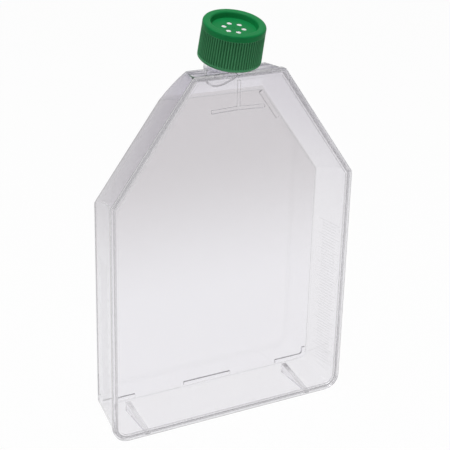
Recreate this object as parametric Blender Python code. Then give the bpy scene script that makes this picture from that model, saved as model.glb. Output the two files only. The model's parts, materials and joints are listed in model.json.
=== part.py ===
"""Cell culture flask: a clear drafted body with a canted neck, a welded front plate and a vented screw cap.

Metres, +Z up. The flask stands on its narrow base, its front plate towards -Y and its growth face towards +Y.
The origin is the middle of the whole flask's footprint.
"""

import math

import bmesh
import bpy
from mathutils import Matrix, Vector

# Front outline of the body
BODY_WIDTH = 0.1500
SHOULDER_HEIGHT = 0.1408
SLOPE_RISE = 0.0656
TOP_WIDTH = 0.0546
BASE_CORNER_RADIUS = 0.0090
SHOULDER_RADIUS = 0.0022

# Depth of the body, from the front bead to the growth face
BODY_DEPTH = 0.0332
RAMP_RUN = 0.0160
RAMP_DROP = 0.0187
RAMP_BULGE = 0.0009
BACK_CORNER_RADIUS = 0.0055

# How far the walls have come in at the growth face
SIDE_DRAFT = 0.0039
BASE_DRAFT = 0.0060
SLOPE_DRAFT = 0.0074
SLOPE_CURVE_EXPONENT = 1.6

# Body wall and the flange that carries the front plate
WALL = 0.0018
INNER_RADIUS = 0.0006
FLANGE_STEP = 0.0006
FLANGE_THICKNESS = 0.0016

# Front plate: a land, a bead on it, a second land and a sunk field
BEAD_OUTER_EDGE = 0.0011
BEAD_INNER_EDGE = 0.0024
LAND_INNER_EDGE = 0.0039
BEAD_HEIGHT = 0.0007
EDGE_THICKNESS = 0.0012
FIELD_SINK = 0.0008
FIELD_THICKNESS = 0.0016
BEAD_ROUNDING = 0.0002

# T-shaped rib on the inside of the front plate
T_BAR_HALF_LENGTH = 0.0162
T_BAR_BELOW_CREASE = 0.0005
T_BAR_DROOP = 0.0006
T_BAR_DEPTH = 0.0012
T_STEM_GAP = 0.0022
T_STEM_DEPTH = 0.0009
T_RIB_WIDTH = 0.0018

# Stand-off feet on the growth face
FOOT_HEIGHT = 0.0012
FOOT_WIDTH = 0.0022
FOOT_EDGE_MARGIN = 0.0013
MIDDLE_FOOT_HALF_LENGTH = 0.0158
CORNER_FOOT_INSET = 0.0270
CORNER_FOOT_RISE = 0.0055
SLOPE_FOOT_BELOW_CREASE = 0.0021
SLOPE_FOOT_RISE = 0.0166

# Standing rails under the base
RAIL_INSET = 0.0216
RAIL_WIDTH = 0.0030
RAIL_BACK_MARGIN = 0.0020

# Neck
NECK_LEAN = math.radians(14.4)
NECK_FRONT_MARGIN = 0.0001
NECK_BORE_RADIUS = 0.0112
NECK_ROOT_WALL = 0.0018
NECK_FINISH_WALL = 0.0014
NECK_RING_OVERLAP = 0.0007
NECK_RING_START = 0.0041
NECK_RING_THICKNESS = 0.0013
NECK_RING_FLARE = 0.0006
NECK_FINISH_LENGTH = 0.0147
NECK_LIP_ROUNDING = 0.0005

# Cap
THREAD_ROOM = 0.0013
CAP_WALL = 0.0034
CAP_TAPER = 0.0003
CAP_CROWN_ROUNDING = 0.0012
CAP_CROWN_BAND = 0.0034
CAP_SKIRT_BAND = 0.0014
CAP_CROWN_WIDTH = 0.0044
CAP_RECESS_TAPER = 0.0006
CAP_RECESS_DEPTH = 0.0031
CAP_RECESS_ROUNDING = 0.0012
CAP_FLOOR_THICKNESS = 0.0010
CAP_LIP_CHAMFER = 0.0004
RIB_COUNT = 72
RIB_DEPTH = 0.00045
VENT_COUNT = 6
VENT_RING_RADIUS = 0.0053
VENT_RADIUS = 0.0015

# Seal ring and vent membrane inside the cap
SEAL_THICKNESS = 0.0016
SEAL_SIDE_CLEARANCE = 0.0006
SEAL_WALL = 0.0026
SEAL_LEDGE_WIDTH = 0.0012
SEAL_LEDGE_THICKNESS = 0.0006
MEMBRANE_THICKNESS = 0.0004

# Fits and cutting
CLEARANCE = 0.0003
OVERRUN = 0.0020
WELD_DEPTH = 0.0007

# Facets
CORNER_STEPS = 7
SMALL_CORNER_STEPS = 3
DEPTH_STEPS = 4
RAMP_STEPS = 4
NECK_SEGMENTS = 56
SEAL_SEGMENTS = 48
VENT_SEGMENTS = 16
ROUNDING_STEPS = 4
SHARP_ANGLE = math.radians(32)

# Places that follow from the sizes above
LAND_Y = BEAD_HEIGHT
EDGE_BACK_Y = LAND_Y + EDGE_THICKNESS
FIELD_FRONT_Y = LAND_Y + FIELD_SINK
FIELD_BACK_Y = FIELD_FRONT_Y + FIELD_THICKNESS
MOUTH_Y = EDGE_BACK_Y + CLEARANCE
FLANGE_BACK_Y = MOUTH_Y + FLANGE_THICKNESS
MOUTH_INSET = FLANGE_STEP + WALL
BODY_HEIGHT = SHOULDER_HEIGHT + SLOPE_RISE
BODY_TOP = BODY_HEIGHT - FLANGE_STEP
TOP_DEPTH = BODY_DEPTH - RAMP_RUN
CREASE_HEIGHT = BODY_TOP - RAMP_DROP
RAMP_ANGLE = math.atan2(RAMP_DROP, RAMP_RUN)
T_BAR_HEIGHT = CREASE_HEIGHT - T_BAR_BELOW_CREASE
T_STEM_TOP = BODY_TOP - WALL - T_STEM_GAP
CORNER_FOOT_START = BODY_WIDTH / 2 - CORNER_FOOT_INSET
SLOPE_FOOT_TOP = CREASE_HEIGHT - SLOPE_FOOT_BELOW_CREASE
SLOPE_FOOT_BOTTOM = SLOPE_FOOT_TOP - SLOPE_FOOT_RISE
RAIL_OFFSET = BODY_WIDTH / 2 - RAIL_INSET

# Radii and heights about the neck's axis, from the bore outwards and from the top wall upwards
NECK_ROOT_RADIUS = NECK_BORE_RADIUS + NECK_ROOT_WALL
NECK_FINISH_RADIUS = NECK_BORE_RADIUS + NECK_FINISH_WALL
CAP_BORE_RADIUS = NECK_FINISH_RADIUS + THREAD_ROOM
NECK_RING_RADIUS = CAP_BORE_RADIUS + NECK_RING_OVERLAP
CAP_BOTTOM_RADIUS = CAP_BORE_RADIUS + CAP_WALL
CAP_TOP_RADIUS = CAP_BOTTOM_RADIUS - CAP_TAPER
CAP_RECESS_RADIUS = CAP_TOP_RADIUS - CAP_CROWN_WIDTH
CAP_RECESS_FLOOR_RADIUS = CAP_RECESS_RADIUS - CAP_RECESS_TAPER
SEAL_OUTER_RADIUS = CAP_BORE_RADIUS - SEAL_SIDE_CLEARANCE
MEMBRANE_RADIUS = SEAL_OUTER_RADIUS - SEAL_WALL - CLEARANCE
SEAL_INNER_RADIUS = MEMBRANE_RADIUS - SEAL_LEDGE_WIDTH
NECK_RING_TOP = NECK_RING_START + NECK_RING_THICKNESS
NECK_RIM = NECK_RING_TOP + NECK_FINISH_LENGTH
SEAL_BOTTOM = NECK_RIM + CLEARANCE
SEAL_TOP = SEAL_BOTTOM + SEAL_THICKNESS
CAP_BOTTOM = NECK_RING_TOP + CLEARANCE
CAP_FLOOR_UNDERSIDE = SEAL_TOP + CLEARANCE
CAP_FLOOR = CAP_FLOOR_UNDERSIDE + CAP_FLOOR_THICKNESS
CAP_TOP = CAP_FLOOR + CAP_RECESS_DEPTH
CAP_SHOULDER = CAP_TOP - CAP_CROWN_BAND
NECK_SETBACK = MOUTH_Y + NECK_FRONT_MARGIN + NECK_ROOT_RADIUS / math.cos(NECK_LEAN)
NECK_AXIS = Vector((0, -math.sin(NECK_LEAN), math.cos(NECK_LEAN)))


def front_of_circle(radius, height):
    """The foremost y of a circle about the neck's axis."""
    return NECK_SETBACK + height * NECK_AXIS.y - radius * NECK_AXIS.z


# The footprint's middle in the depth direction, between the cap's front and the feet at the back
FRONT_Y = min(front_of_circle(CAP_BOTTOM_RADIUS, CAP_BOTTOM + CAP_SKIRT_BAND),
              front_of_circle(CAP_TOP_RADIUS, CAP_TOP - CAP_CROWN_ROUNDING))
BACK_Y = BODY_DEPTH + FOOT_HEIGHT
MIDDLE_Y = (FRONT_Y + BACK_Y) / 2
NECK_FOOT = Vector((0, NECK_SETBACK - MIDDLE_Y, BODY_TOP))

# Right-hand slope of the front outline: its outward direction and its distance from the origin
SLOPE_RUN = (BODY_WIDTH - TOP_WIDTH) / 2
SLOPE_NORMAL = Vector((SLOPE_RISE, SLOPE_RUN)).normalized()
SLOPE_REACH = SLOPE_NORMAL.dot(Vector((BODY_WIDTH / 2, SHOULDER_HEIGHT)))


def clear_scene():
    """Remove every object that the file opened with."""
    for item in list(bpy.data.objects):
        bpy.data.objects.remove(item, do_unlink=True)


def plastic(name, color, roughness, alpha=1.0):
    """A Principled material in one plain colour."""
    material = bpy.data.materials.new(name)
    material.use_nodes = True
    shader = material.node_tree.nodes["Principled BSDF"]
    shader.inputs["Base Color"].default_value = (*color, 1)
    shader.inputs["Roughness"].default_value = roughness
    shader.inputs["Metallic"].default_value = 0
    shader.inputs["Alpha"].default_value = alpha
    return material


def add_object(name, mesh_data, material):
    """Put a finished bmesh into the scene as one smooth-shaded object."""
    bmesh.ops.recalc_face_normals(mesh_data, faces=mesh_data.faces)
    mesh = bpy.data.meshes.new(name)
    mesh_data.to_mesh(mesh)
    mesh_data.free()
    mesh.shade_smooth()
    mesh.set_sharp_from_angle(angle=SHARP_ANGLE)
    item = bpy.data.objects.new(name, mesh)
    bpy.context.collection.objects.link(item)
    if material:
        item.data.materials.append(material)
    return item


def join_with(item, other, operation):
    """Add or cut another solid, which then stays hidden."""
    other.hide_render = True
    other.display_type = "WIRE"
    modifier = item.modifiers.new(other.name, "BOOLEAN")
    modifier.operation = operation
    modifier.object = other
    modifier.solver = "EXACT"


def loft(name, loops, material=None, closed=False):
    """Skin a list of loops with equally many points, and close the ends or join last to first."""
    mesh_data = bmesh.new()
    rings = [[mesh_data.verts.new(point) for point in loop] for loop in loops]
    pairs = list(zip(rings, rings[1:]))
    if closed:
        pairs.append((rings[-1], rings[0]))
    for low, high in pairs:
        for index in range(len(low)):
            after = (index + 1) % len(low)
            mesh_data.faces.new((low[index], low[after], high[after], high[index]))
    if not closed:
        mesh_data.faces.new(rings[0][::-1])
        mesh_data.faces.new(rings[-1])
    return add_object(name, mesh_data, material)


def rounded(corners):
    """A closed outline with each (point, radius, steps) corner as an arc of steps + 1 points."""
    outline = []
    count = len(corners)
    for index, (corner, radius, steps) in enumerate(corners):
        to_previous = (corners[index - 1][0] - corner).normalized()
        to_next = (corners[(index + 1) % count][0] - corner).normalized()
        half_angle = math.acos(max(-1, min(1, to_previous.dot(to_next)))) / 2
        middle = (to_previous + to_next).normalized()
        centre = corner + middle * (radius / math.sin(half_angle))
        first = corner + to_previous * (radius / math.tan(half_angle)) - centre
        last = corner + to_next * (radius / math.tan(half_angle)) - centre
        sweep = first.angle_signed(last)
        for step in range(steps + 1):
            turn = -sweep * step / steps
            outline.append(centre + Matrix.Rotation(turn, 2) @ first)
    return outline


def house(side, base, slope, top, base_radius, small_radius):
    """The body's outline with its walls brought in by side, base and slope, and its top at a height."""
    half_width = BODY_WIDTH / 2 - side
    reach = SLOPE_REACH - slope
    shoulder = (reach - SLOPE_NORMAL.x * half_width) / SLOPE_NORMAL.y
    half_top = (reach - SLOPE_NORMAL.y * top) / SLOPE_NORMAL.x
    right = [
        (Vector((half_width, base)), base_radius, CORNER_STEPS),
        (Vector((half_width, shoulder)), small_radius, SMALL_CORNER_STEPS),
        (Vector((half_top, top)), small_radius, SMALL_CORNER_STEPS),
    ]
    left = [(Vector((-point.x, point.y)), radius, steps) for point, radius, steps in reversed(right)]
    return rounded(right + left)


def at_depth(outline, depth):
    """Stand an outline up at a depth behind the front bead."""
    return [Vector((point.x, depth - MIDDLE_Y, point.y)) for point in outline]


def front_outline(inset, depth):
    """The front outline brought in evenly, as the front plate and the flange follow it."""
    base_radius = max(BASE_CORNER_RADIUS - inset, INNER_RADIUS)
    small_radius = max(SHOULDER_RADIUS - inset, INNER_RADIUS)
    return at_depth(house(inset, inset, inset, BODY_HEIGHT - inset, base_radius, small_radius), depth)


def drafted(draft, share, exponent=1):
    """How far a wall has come in at a share of the depth."""
    return FLANGE_STEP + (draft - FLANGE_STEP) * share ** exponent


def body_section(depth, top, wall):
    """A section of the drafted body at a depth, brought in by a wall thickness."""
    share = max(depth - FLANGE_BACK_Y, 0) / (BODY_DEPTH - FLANGE_BACK_Y)
    base_radius = BASE_CORNER_RADIUS + (BACK_CORNER_RADIUS - BASE_CORNER_RADIUS) * share - wall
    return at_depth(house(drafted(SIDE_DRAFT, share) + wall, drafted(BASE_DRAFT, share) + wall,
                          drafted(SLOPE_DRAFT, share, SLOPE_CURVE_EXPONENT) + wall, top,
                          base_radius, max(SHOULDER_RADIUS - wall, INNER_RADIUS)), depth)


def ramp_points(wall):
    """The ramp from the top wall down to the growth face, as (depth, height), for one side of the wall."""
    mitre = wall * math.tan(RAMP_ANGLE / 2)
    foot_mitre = wall * math.tan((math.pi / 2 - RAMP_ANGLE) / 2)
    start = Vector((TOP_DEPTH - mitre, BODY_TOP - wall))
    end = Vector((BODY_DEPTH - wall, CREASE_HEIGHT - foot_mitre))
    outward = Vector((math.sin(RAMP_ANGLE), math.cos(RAMP_ANGLE)))
    points = []
    for step in range(RAMP_STEPS + 1):
        share = step / RAMP_STEPS
        bulge = RAMP_BULGE * 4 * share * (1 - share)
        points.append(start.lerp(end, share) + outward * bulge)
    return points


def body_sections(wall, first_depth):
    """Sections from a first depth to the growth face."""
    ramp = ramp_points(wall)
    depths = [first_depth + (ramp[0].x - first_depth) * step / DEPTH_STEPS for step in range(DEPTH_STEPS)]
    straight = [body_section(depth, BODY_TOP - wall, wall) for depth in depths]
    return straight + [body_section(point.x, point.y, wall) for point in ramp]


def neck_circle(radius, height):
    """A circle square to the neck's axis."""
    side = Vector((1, 0, 0))
    back = NECK_AXIS.cross(side)
    centre = NECK_FOOT + NECK_AXIS * height
    turns = [2 * math.pi * index / NECK_SEGMENTS for index in range(NECK_SEGMENTS)]
    return [centre + side * (radius * math.cos(turn)) + back * (radius * math.sin(turn)) for turn in turns]


def neck_oval(radius, level):
    """The neck's level section at its root, moved straight down to a level."""
    oval = []
    for point in neck_circle(radius, 0):
        slide = (BODY_TOP - point.z) / NECK_AXIS.z
        foot = point + NECK_AXIS * slide
        oval.append(Vector((foot.x, foot.y, level)))
    return oval


def make_neck():
    """The neck outside: an upright root, a leaning ring and the finish that the cap screws on."""
    flare = NECK_RING_FLARE
    loops = [
        neck_oval(NECK_ROOT_RADIUS, CREASE_HEIGHT),
        neck_oval(NECK_ROOT_RADIUS, BODY_TOP),
        neck_circle(NECK_ROOT_RADIUS, NECK_RING_START),
        neck_circle(NECK_RING_RADIUS, NECK_RING_START + flare),
        neck_circle(NECK_RING_RADIUS, NECK_RING_TOP),
        neck_circle(NECK_FINISH_RADIUS, NECK_RING_TOP),
        neck_circle(NECK_FINISH_RADIUS, NECK_RIM - NECK_LIP_ROUNDING),
        neck_circle(NECK_FINISH_RADIUS - NECK_LIP_ROUNDING, NECK_RIM),
    ]
    return loft("neck_outside", loops)


def make_bore():
    """The neck's bore, which runs down into the body's hollow."""
    return loft("neck_bore", [
        neck_oval(NECK_BORE_RADIUS, CREASE_HEIGHT),
        neck_oval(NECK_BORE_RADIUS, BODY_TOP),
        neck_circle(NECK_BORE_RADIUS, NECK_RIM + OVERRUN),
    ])


def base_outside(depth):
    """The height of the base wall's outer face at a depth."""
    share = (depth - FLANGE_BACK_Y) / (BODY_DEPTH - FLANGE_BACK_Y)
    return drafted(BASE_DRAFT, share)


def make_rails():
    """Two rails under the base, level where the base wall slopes, so that the flask stands upright."""
    front = FLANGE_BACK_Y - FLANGE_THICKNESS / 2
    back = BODY_DEPTH - RAIL_BACK_MARGIN
    mesh_data = bmesh.new()
    for middle in (-RAIL_OFFSET, RAIL_OFFSET):
        corners = []
        for depth in (front, back):
            top = base_outside(max(depth, FLANGE_BACK_Y)) + WELD_DEPTH
            for height in (0, top):
                for side in (-RAIL_WIDTH / 2, RAIL_WIDTH / 2):
                    corners.append(mesh_data.verts.new((middle + side, depth - MIDDLE_Y, height)))
        bmesh.ops.convex_hull(mesh_data, input=corners)
    return add_object("rails", mesh_data, None)


def strip(mesh_data, path, width, near, far):
    """Add a flat bar of a width along a path of (x, z) points, between two depths."""
    left = []
    right = []
    for index, point in enumerate(path):
        before = path[max(index - 1, 0)]
        after = path[min(index + 1, len(path) - 1)]
        along = (after - before).normalized()
        across = Vector((-along.y, along.x)) * (width / 2)
        left.append(point + across)
        right.append(point - across)
    outline = left + right[::-1]
    front = [mesh_data.verts.new((point.x, near - MIDDLE_Y, point.y)) for point in outline]
    back = [mesh_data.verts.new((point.x, far - MIDDLE_Y, point.y)) for point in outline]
    count = len(outline)
    for index in range(count):
        after = (index + 1) % count
        mesh_data.faces.new((front[index], front[after], back[after], back[index]))
    mesh_data.faces.new(front[::-1])
    mesh_data.faces.new(back)


def slope_edge(height):
    """The x of the growth face's right-hand slope at a height, brought in to a foot's middle."""
    reach = SLOPE_REACH - SLOPE_DRAFT - FOOT_EDGE_MARGIN - FOOT_WIDTH / 2
    return (reach - SLOPE_NORMAL.y * height) / SLOPE_NORMAL.x


def make_feet():
    """Stand-off feet along the edge of the growth face."""
    margin = FOOT_EDGE_MARGIN + FOOT_WIDTH / 2
    level = BASE_DRAFT + margin
    side = BODY_WIDTH / 2 - SIDE_DRAFT - margin
    radius = BACK_CORNER_RADIUS - margin
    paths = [[Vector((-MIDDLE_FOOT_HALF_LENGTH, level)), Vector((MIDDLE_FOOT_HALF_LENGTH, level))]]
    for hand in (-1, 1):
        bend = [Vector((CORNER_FOOT_START, level))]
        for step in range(ROUNDING_STEPS + 1):
            turn = math.pi / 2 * step / ROUNDING_STEPS
            bend.append(Vector((side - radius + radius * math.sin(turn),
                                level + radius - radius * math.cos(turn))))
        bend.append(Vector((side, level + CORNER_FOOT_RISE)))
        slope = [Vector((slope_edge(SLOPE_FOOT_BOTTOM), SLOPE_FOOT_BOTTOM)),
                 Vector((slope_edge(SLOPE_FOOT_TOP), SLOPE_FOOT_TOP))]
        for path in (bend, slope):
            paths.append([Vector((point.x * hand, point.y)) for point in path])
    mesh_data = bmesh.new()
    for path in paths:
        strip(mesh_data, path, FOOT_WIDTH, BODY_DEPTH - WELD_DEPTH, BODY_DEPTH + FOOT_HEIGHT)
    return add_object("feet", mesh_data, None)


def make_flask_body(material):
    """The moulded body: flange, drafted walls, ramp, neck, feet and rails in one even shell."""
    flange = [front_outline(0, MOUTH_Y), front_outline(0, FLANGE_BACK_Y)]
    body = loft("flask_body", flange + body_sections(0, FLANGE_BACK_Y), material)
    cavity = loft("body_cavity", body_sections(WALL, MOUTH_Y - OVERRUN))
    join_with(body, make_neck(), "UNION")
    join_with(body, make_rails(), "UNION")
    join_with(body, make_feet(), "UNION")
    join_with(body, cavity, "DIFFERENCE")
    join_with(body, make_bore(), "DIFFERENCE")


def make_t_rib():
    """The T-shaped rib, as bars with a slight droop to the ends of the cross bar."""
    mesh_data = bmesh.new()
    bar = [Vector((-T_BAR_HALF_LENGTH, T_BAR_HEIGHT - T_BAR_DROOP)), Vector((0, T_BAR_HEIGHT)),
           Vector((T_BAR_HALF_LENGTH, T_BAR_HEIGHT - T_BAR_DROOP))]
    strip(mesh_data, bar, T_RIB_WIDTH, FIELD_BACK_Y - WELD_DEPTH, FIELD_BACK_Y + T_BAR_DEPTH)
    return add_object("t_bar", mesh_data, None)


def make_t_stem():
    """The upright stem of the T, which starts inside the cross bar."""
    mesh_data = bmesh.new()
    stem = [Vector((0, T_BAR_HEIGHT)), Vector((0, T_STEM_TOP))]
    strip(mesh_data, stem, T_RIB_WIDTH, FIELD_BACK_Y - WELD_DEPTH, FIELD_BACK_Y + T_STEM_DEPTH)
    return add_object("t_stem", mesh_data, None)


def make_front_plate(material):
    """The welded front plate: a stepped rim with a bead round a sunk clear field."""
    bead = BEAD_ROUNDING
    profile = [
        (MOUTH_INSET + CLEARANCE, FIELD_BACK_Y),
        (MOUTH_INSET + CLEARANCE, EDGE_BACK_Y),
        (0, EDGE_BACK_Y),
        (0, LAND_Y),
        (BEAD_OUTER_EDGE, LAND_Y),
        (BEAD_OUTER_EDGE, bead),
        (BEAD_OUTER_EDGE + bead, 0),
        (BEAD_INNER_EDGE - bead, 0),
        (BEAD_INNER_EDGE, bead),
        (BEAD_INNER_EDGE, LAND_Y),
        (LAND_INNER_EDGE, LAND_Y),
        (LAND_INNER_EDGE, FIELD_FRONT_Y),
    ]
    plate = loft("front_plate", [front_outline(inset, depth) for inset, depth in profile], material)
    join_with(plate, make_t_rib(), "UNION")
    join_with(plate, make_t_stem(), "UNION")


def ring_loop(radius, height, segments, groove=0):
    """A level loop whose every second point lies in a groove of a depth."""
    loop = []
    for index in range(segments):
        turn = 2 * math.pi * index / segments - math.pi / 2
        reach = radius - groove * (index % 2)
        loop.append(Vector((reach * math.cos(turn), reach * math.sin(turn), height)))
    return loop


def quarter(centre_radius, centre_height, radius, start):
    """Points of a quarter turn in a turned profile, from an angle and clockwise."""
    points = []
    for step in range(ROUNDING_STEPS + 1):
        turn = start - math.pi / 2 * step / ROUNDING_STEPS
        points.append((centre_radius + radius * math.cos(turn), centre_height + radius * math.sin(turn)))
    return points


def seat_on_neck(item):
    """Put a turned piece on the neck's axis."""
    item.location = NECK_FOOT
    item.rotation_euler = (NECK_LEAN, 0, 0)


def make_vents():
    """Cutters for the ring of vents in the cap's floor."""
    mesh_data = bmesh.new()
    low = CAP_FLOOR_UNDERSIDE - OVERRUN / 2
    high = CAP_TOP
    for index in range(VENT_COUNT):
        turn = 2 * math.pi * (index + 1 / 2) / VENT_COUNT
        place = Matrix.Translation((VENT_RING_RADIUS * math.cos(turn), VENT_RING_RADIUS * math.sin(turn),
                                    (low + high) / 2))
        bmesh.ops.create_cone(mesh_data, cap_ends=True, segments=VENT_SEGMENTS, radius1=VENT_RADIUS,
                              radius2=VENT_RADIUS, depth=high - low, matrix=place)
    cutter = add_object("vent_cutters", mesh_data, None)
    seat_on_neck(cutter)
    return cutter


def make_cap_shell(material):
    """The green cap: a ribbed skirt, a smooth crown and a sunk floor with vents."""
    segments = RIB_COUNT * 2
    crown = quarter(CAP_TOP_RADIUS - CAP_CROWN_ROUNDING, CAP_TOP - CAP_CROWN_ROUNDING,
                    CAP_CROWN_ROUNDING, math.pi / 2)
    recess = quarter(CAP_RECESS_RADIUS + CAP_RECESS_ROUNDING, CAP_TOP - CAP_RECESS_ROUNDING,
                     CAP_RECESS_ROUNDING, math.pi)
    plain = [(CAP_RECESS_FLOOR_RADIUS, CAP_FLOOR)] + recess + crown
    loops = [ring_loop(radius, height, segments) for radius, height in plain]
    skirt_top = CAP_BOTTOM + CAP_SKIRT_BAND
    loops.append(ring_loop(CAP_TOP_RADIUS, CAP_SHOULDER, segments))
    loops.append(ring_loop(CAP_TOP_RADIUS, CAP_SHOULDER - RIB_DEPTH, segments, RIB_DEPTH))
    loops.append(ring_loop(CAP_BOTTOM_RADIUS, skirt_top + RIB_DEPTH, segments, RIB_DEPTH))
    loops.append(ring_loop(CAP_BOTTOM_RADIUS, skirt_top, segments))
    loops.append(ring_loop(CAP_BOTTOM_RADIUS, CAP_BOTTOM + CAP_LIP_CHAMFER, segments))
    loops.append(ring_loop(CAP_BOTTOM_RADIUS - CAP_LIP_CHAMFER, CAP_BOTTOM, segments))
    loops.append(ring_loop(CAP_BORE_RADIUS + CAP_LIP_CHAMFER, CAP_BOTTOM, segments))
    loops.append(ring_loop(CAP_BORE_RADIUS, CAP_BOTTOM + CAP_LIP_CHAMFER, segments))
    loops.append(ring_loop(CAP_BORE_RADIUS, CAP_FLOOR_UNDERSIDE, segments))
    cap = loft("cap_shell", loops, material)
    seat_on_neck(cap)
    join_with(cap, make_vents(), "DIFFERENCE")


def make_seal_ring(material):
    """The sealing ring on the neck's rim, with a ledge that carries the membrane."""
    ledge = SEAL_BOTTOM + SEAL_LEDGE_THICKNESS
    seat = MEMBRANE_RADIUS + CLEARANCE
    profile = [
        (SEAL_INNER_RADIUS, SEAL_BOTTOM),
        (SEAL_OUTER_RADIUS, SEAL_BOTTOM),
        (SEAL_OUTER_RADIUS, SEAL_TOP),
        (seat, SEAL_TOP),
        (seat, ledge),
        (SEAL_INNER_RADIUS, ledge),
    ]
    loops = [ring_loop(radius, height, SEAL_SEGMENTS) for radius, height in profile]
    ring = loft("seal_ring", loops, material, closed=True)
    seat_on_neck(ring)


def make_vent_membrane(material):
    """The white filter membrane behind the vents."""
    bottom = SEAL_BOTTOM + SEAL_LEDGE_THICKNESS + CLEARANCE
    heights = (bottom, bottom + MEMBRANE_THICKNESS)
    loops = [ring_loop(MEMBRANE_RADIUS, height, SEAL_SEGMENTS) for height in heights]
    membrane = loft("vent_membrane", loops, material)
    seat_on_neck(membrane)


def main():
    """Build the whole flask."""
    clear_scene()
    make_flask_body(plastic("clear_polystyrene_body", (0.93, 0.94, 0.97), 0.05, 0.35))
    make_front_plate(plastic("clear_polystyrene_plate", (0.94, 0.95, 0.97), 0.05, 0.35))
    make_cap_shell(plastic("green_cap_plastic", (0.02, 0.30, 0.10), 0.42))
    make_seal_ring(plastic("white_seal_plastic", (0.85, 0.86, 0.85), 0.50))
    make_vent_membrane(plastic("white_membrane", (0.90, 0.91, 0.90), 0.85))


main()
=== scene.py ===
"""Looks of a clear cell culture flask with a green vented screw cap, laid out as a Blender add-on."""

import json
import math
from collections import namedtuple

import bmesh
import bpy
from bpy.props import FloatProperty, FloatVectorProperty, IntProperty, PointerProperty
from bpy.types import NodeSocket, Operator, Panel, PropertyGroup
from mathutils import Matrix, Vector


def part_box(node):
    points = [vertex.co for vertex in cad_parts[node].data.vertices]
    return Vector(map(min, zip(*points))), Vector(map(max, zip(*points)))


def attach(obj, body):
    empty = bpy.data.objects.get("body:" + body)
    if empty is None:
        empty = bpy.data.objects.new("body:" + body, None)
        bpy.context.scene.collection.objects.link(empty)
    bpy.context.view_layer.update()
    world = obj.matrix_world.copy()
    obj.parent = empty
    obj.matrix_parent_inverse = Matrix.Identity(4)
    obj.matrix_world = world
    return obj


bl_info = {
    "name": "Culture flask looks",
    "version": (1, 0, 0),
    "blender": (4, 5, 0),
    "location": "3D View > Sidebar > Flask",
    "description": "Dresses a clear culture flask, its cap and its neck, and sets a plain studio",
    "category": "Object",
}

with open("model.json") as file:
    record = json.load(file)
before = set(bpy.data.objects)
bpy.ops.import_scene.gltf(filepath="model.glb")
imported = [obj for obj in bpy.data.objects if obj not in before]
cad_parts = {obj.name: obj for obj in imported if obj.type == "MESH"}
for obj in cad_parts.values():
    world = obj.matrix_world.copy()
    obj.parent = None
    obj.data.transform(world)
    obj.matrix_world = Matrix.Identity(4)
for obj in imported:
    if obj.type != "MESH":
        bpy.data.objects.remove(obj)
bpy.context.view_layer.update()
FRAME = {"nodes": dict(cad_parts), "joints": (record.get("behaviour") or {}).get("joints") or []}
JOINTS = {joint["name"]: joint for joint in FRAME["joints"]}
NECK_AXIS = Vector(JOINTS["cap_turn"]["axis"]).normalized()
NECK_FOOT = Vector(JOINTS["cap_turn"]["pos_m"])
BODY_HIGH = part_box("flask_body")[1]

# The relief of a moulded surface: waves and grains to a metre, the grain's share, how strong and
# how deep both are, and the roughness from the smoothest spot to the roughest.
Skin = namedtuple("Skin", "waves grains grain_share strength depth roughness")
CLEAR_SKIN = Skin(45, 700, 0.1, 0.10, 0.0003, (0.0, 0.02))
TICK_SKIN = Skin(300, 2500, 0.5, 0.2, 0.0001, (0.45, 0.65))
CAP_SKIN = Skin(220, 1800, 0.4, 0.25, 0.0002, (0.34, 0.50))
SEAL_SKIN = Skin(200, 1500, 0.3, 0.15, 0.0002, (0.40, 0.55))
MEMBRANE_SKIN = Skin(900, 5000, 0.6, 0.5, 0.0002, (0.80, 0.95))
WAVE_DETAIL = 2
GRAIN_DETAIL = 4
SOLID_GLOSS = 0.14
TICK_ALPHA = 0.10

# Clear polystyrene. A tone changes to the next one between two heights, and the growth face has its
# own tone behind a depth. The changes with height are painted light and shade: the walls, the top
# wall, the growth face and the rounded edges darken towards the neck, and the front plate lightens.
# Lamps and light that was mirrored too often go straight through.
POLYSTYRENE_IOR = 1.59
WALL_HEIGHTS = (0.09, 0.215)
FACE_HEIGHTS = (0.062, 0.158)
TOP_HEIGHTS = (0.2030, 0.2055)
NECK_HEIGHTS = (0.2062, 0.2085)
FACE_THICKNESS = 0.0031
FACE_BLEND = 0.0004
THROUGH_TONE = (0.86, 0.853, 0.866)
MOST_MIRRORS = 2.5
# Streaks of painted shade and highlight along the top wall's flow marks.
STREAK_DETAIL = 1
STREAK_RANGE = (0.44, 0.56)
TOP_BAND = 0.0003

# Rounded edges. The finishes are places in a solid's list of materials; the rounded edges carry
# painted shade, and the painted shade finish darkens the dashes' upper sides and the T-shaped rib. A
# face looks along an axis where its normal has more than FACING of it, and FAR lies beyond all of the
# flask.
EDGE_FINISH = 1
PAINTED_SHADE_FINISH = 2
WELD_DISTANCE = 0.000001
PANEL_ANGLE = math.radians(0.3)
ROUNDING_STEPS = 3
FACING = 0.5
FAR = 1.0
FOOT_MARGIN = 0.25

# Graduations: from where to where in depth a line runs, and how far its foot is off the wall.
LONG_TICK = (-0.0060, 0.0125)
SHORT_TICK = (-0.0030, 0.0090)
LONG_TICK_EVERY = 5
TICK_LIFT = 0.00002

# A thread: the radius that it stands on, its share of the thread height, which is negative where it
# stands inwards, the angle at which it starts and how many turns it runs. Then what both threads
# have: where they start on the neck's axis, steps to a turn, the part of their run in which they
# fade in or out, the crest's half width as a part of the root's width, and how deep they sink.
Thread = namedtuple("Thread", "radius share first_turn turns")
NECK_THREAD = Thread(0.0126, 1, 0, 1.25)
CAP_THREAD = Thread(0.0139, -0.9, math.pi / 2, 1.0)
THREAD_START = 0.0078
THREAD_STEPS = 96
THREAD_FADE = 0.125
THREAD_CREST = 0.2
THREAD_SINK = 0.00005

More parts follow.
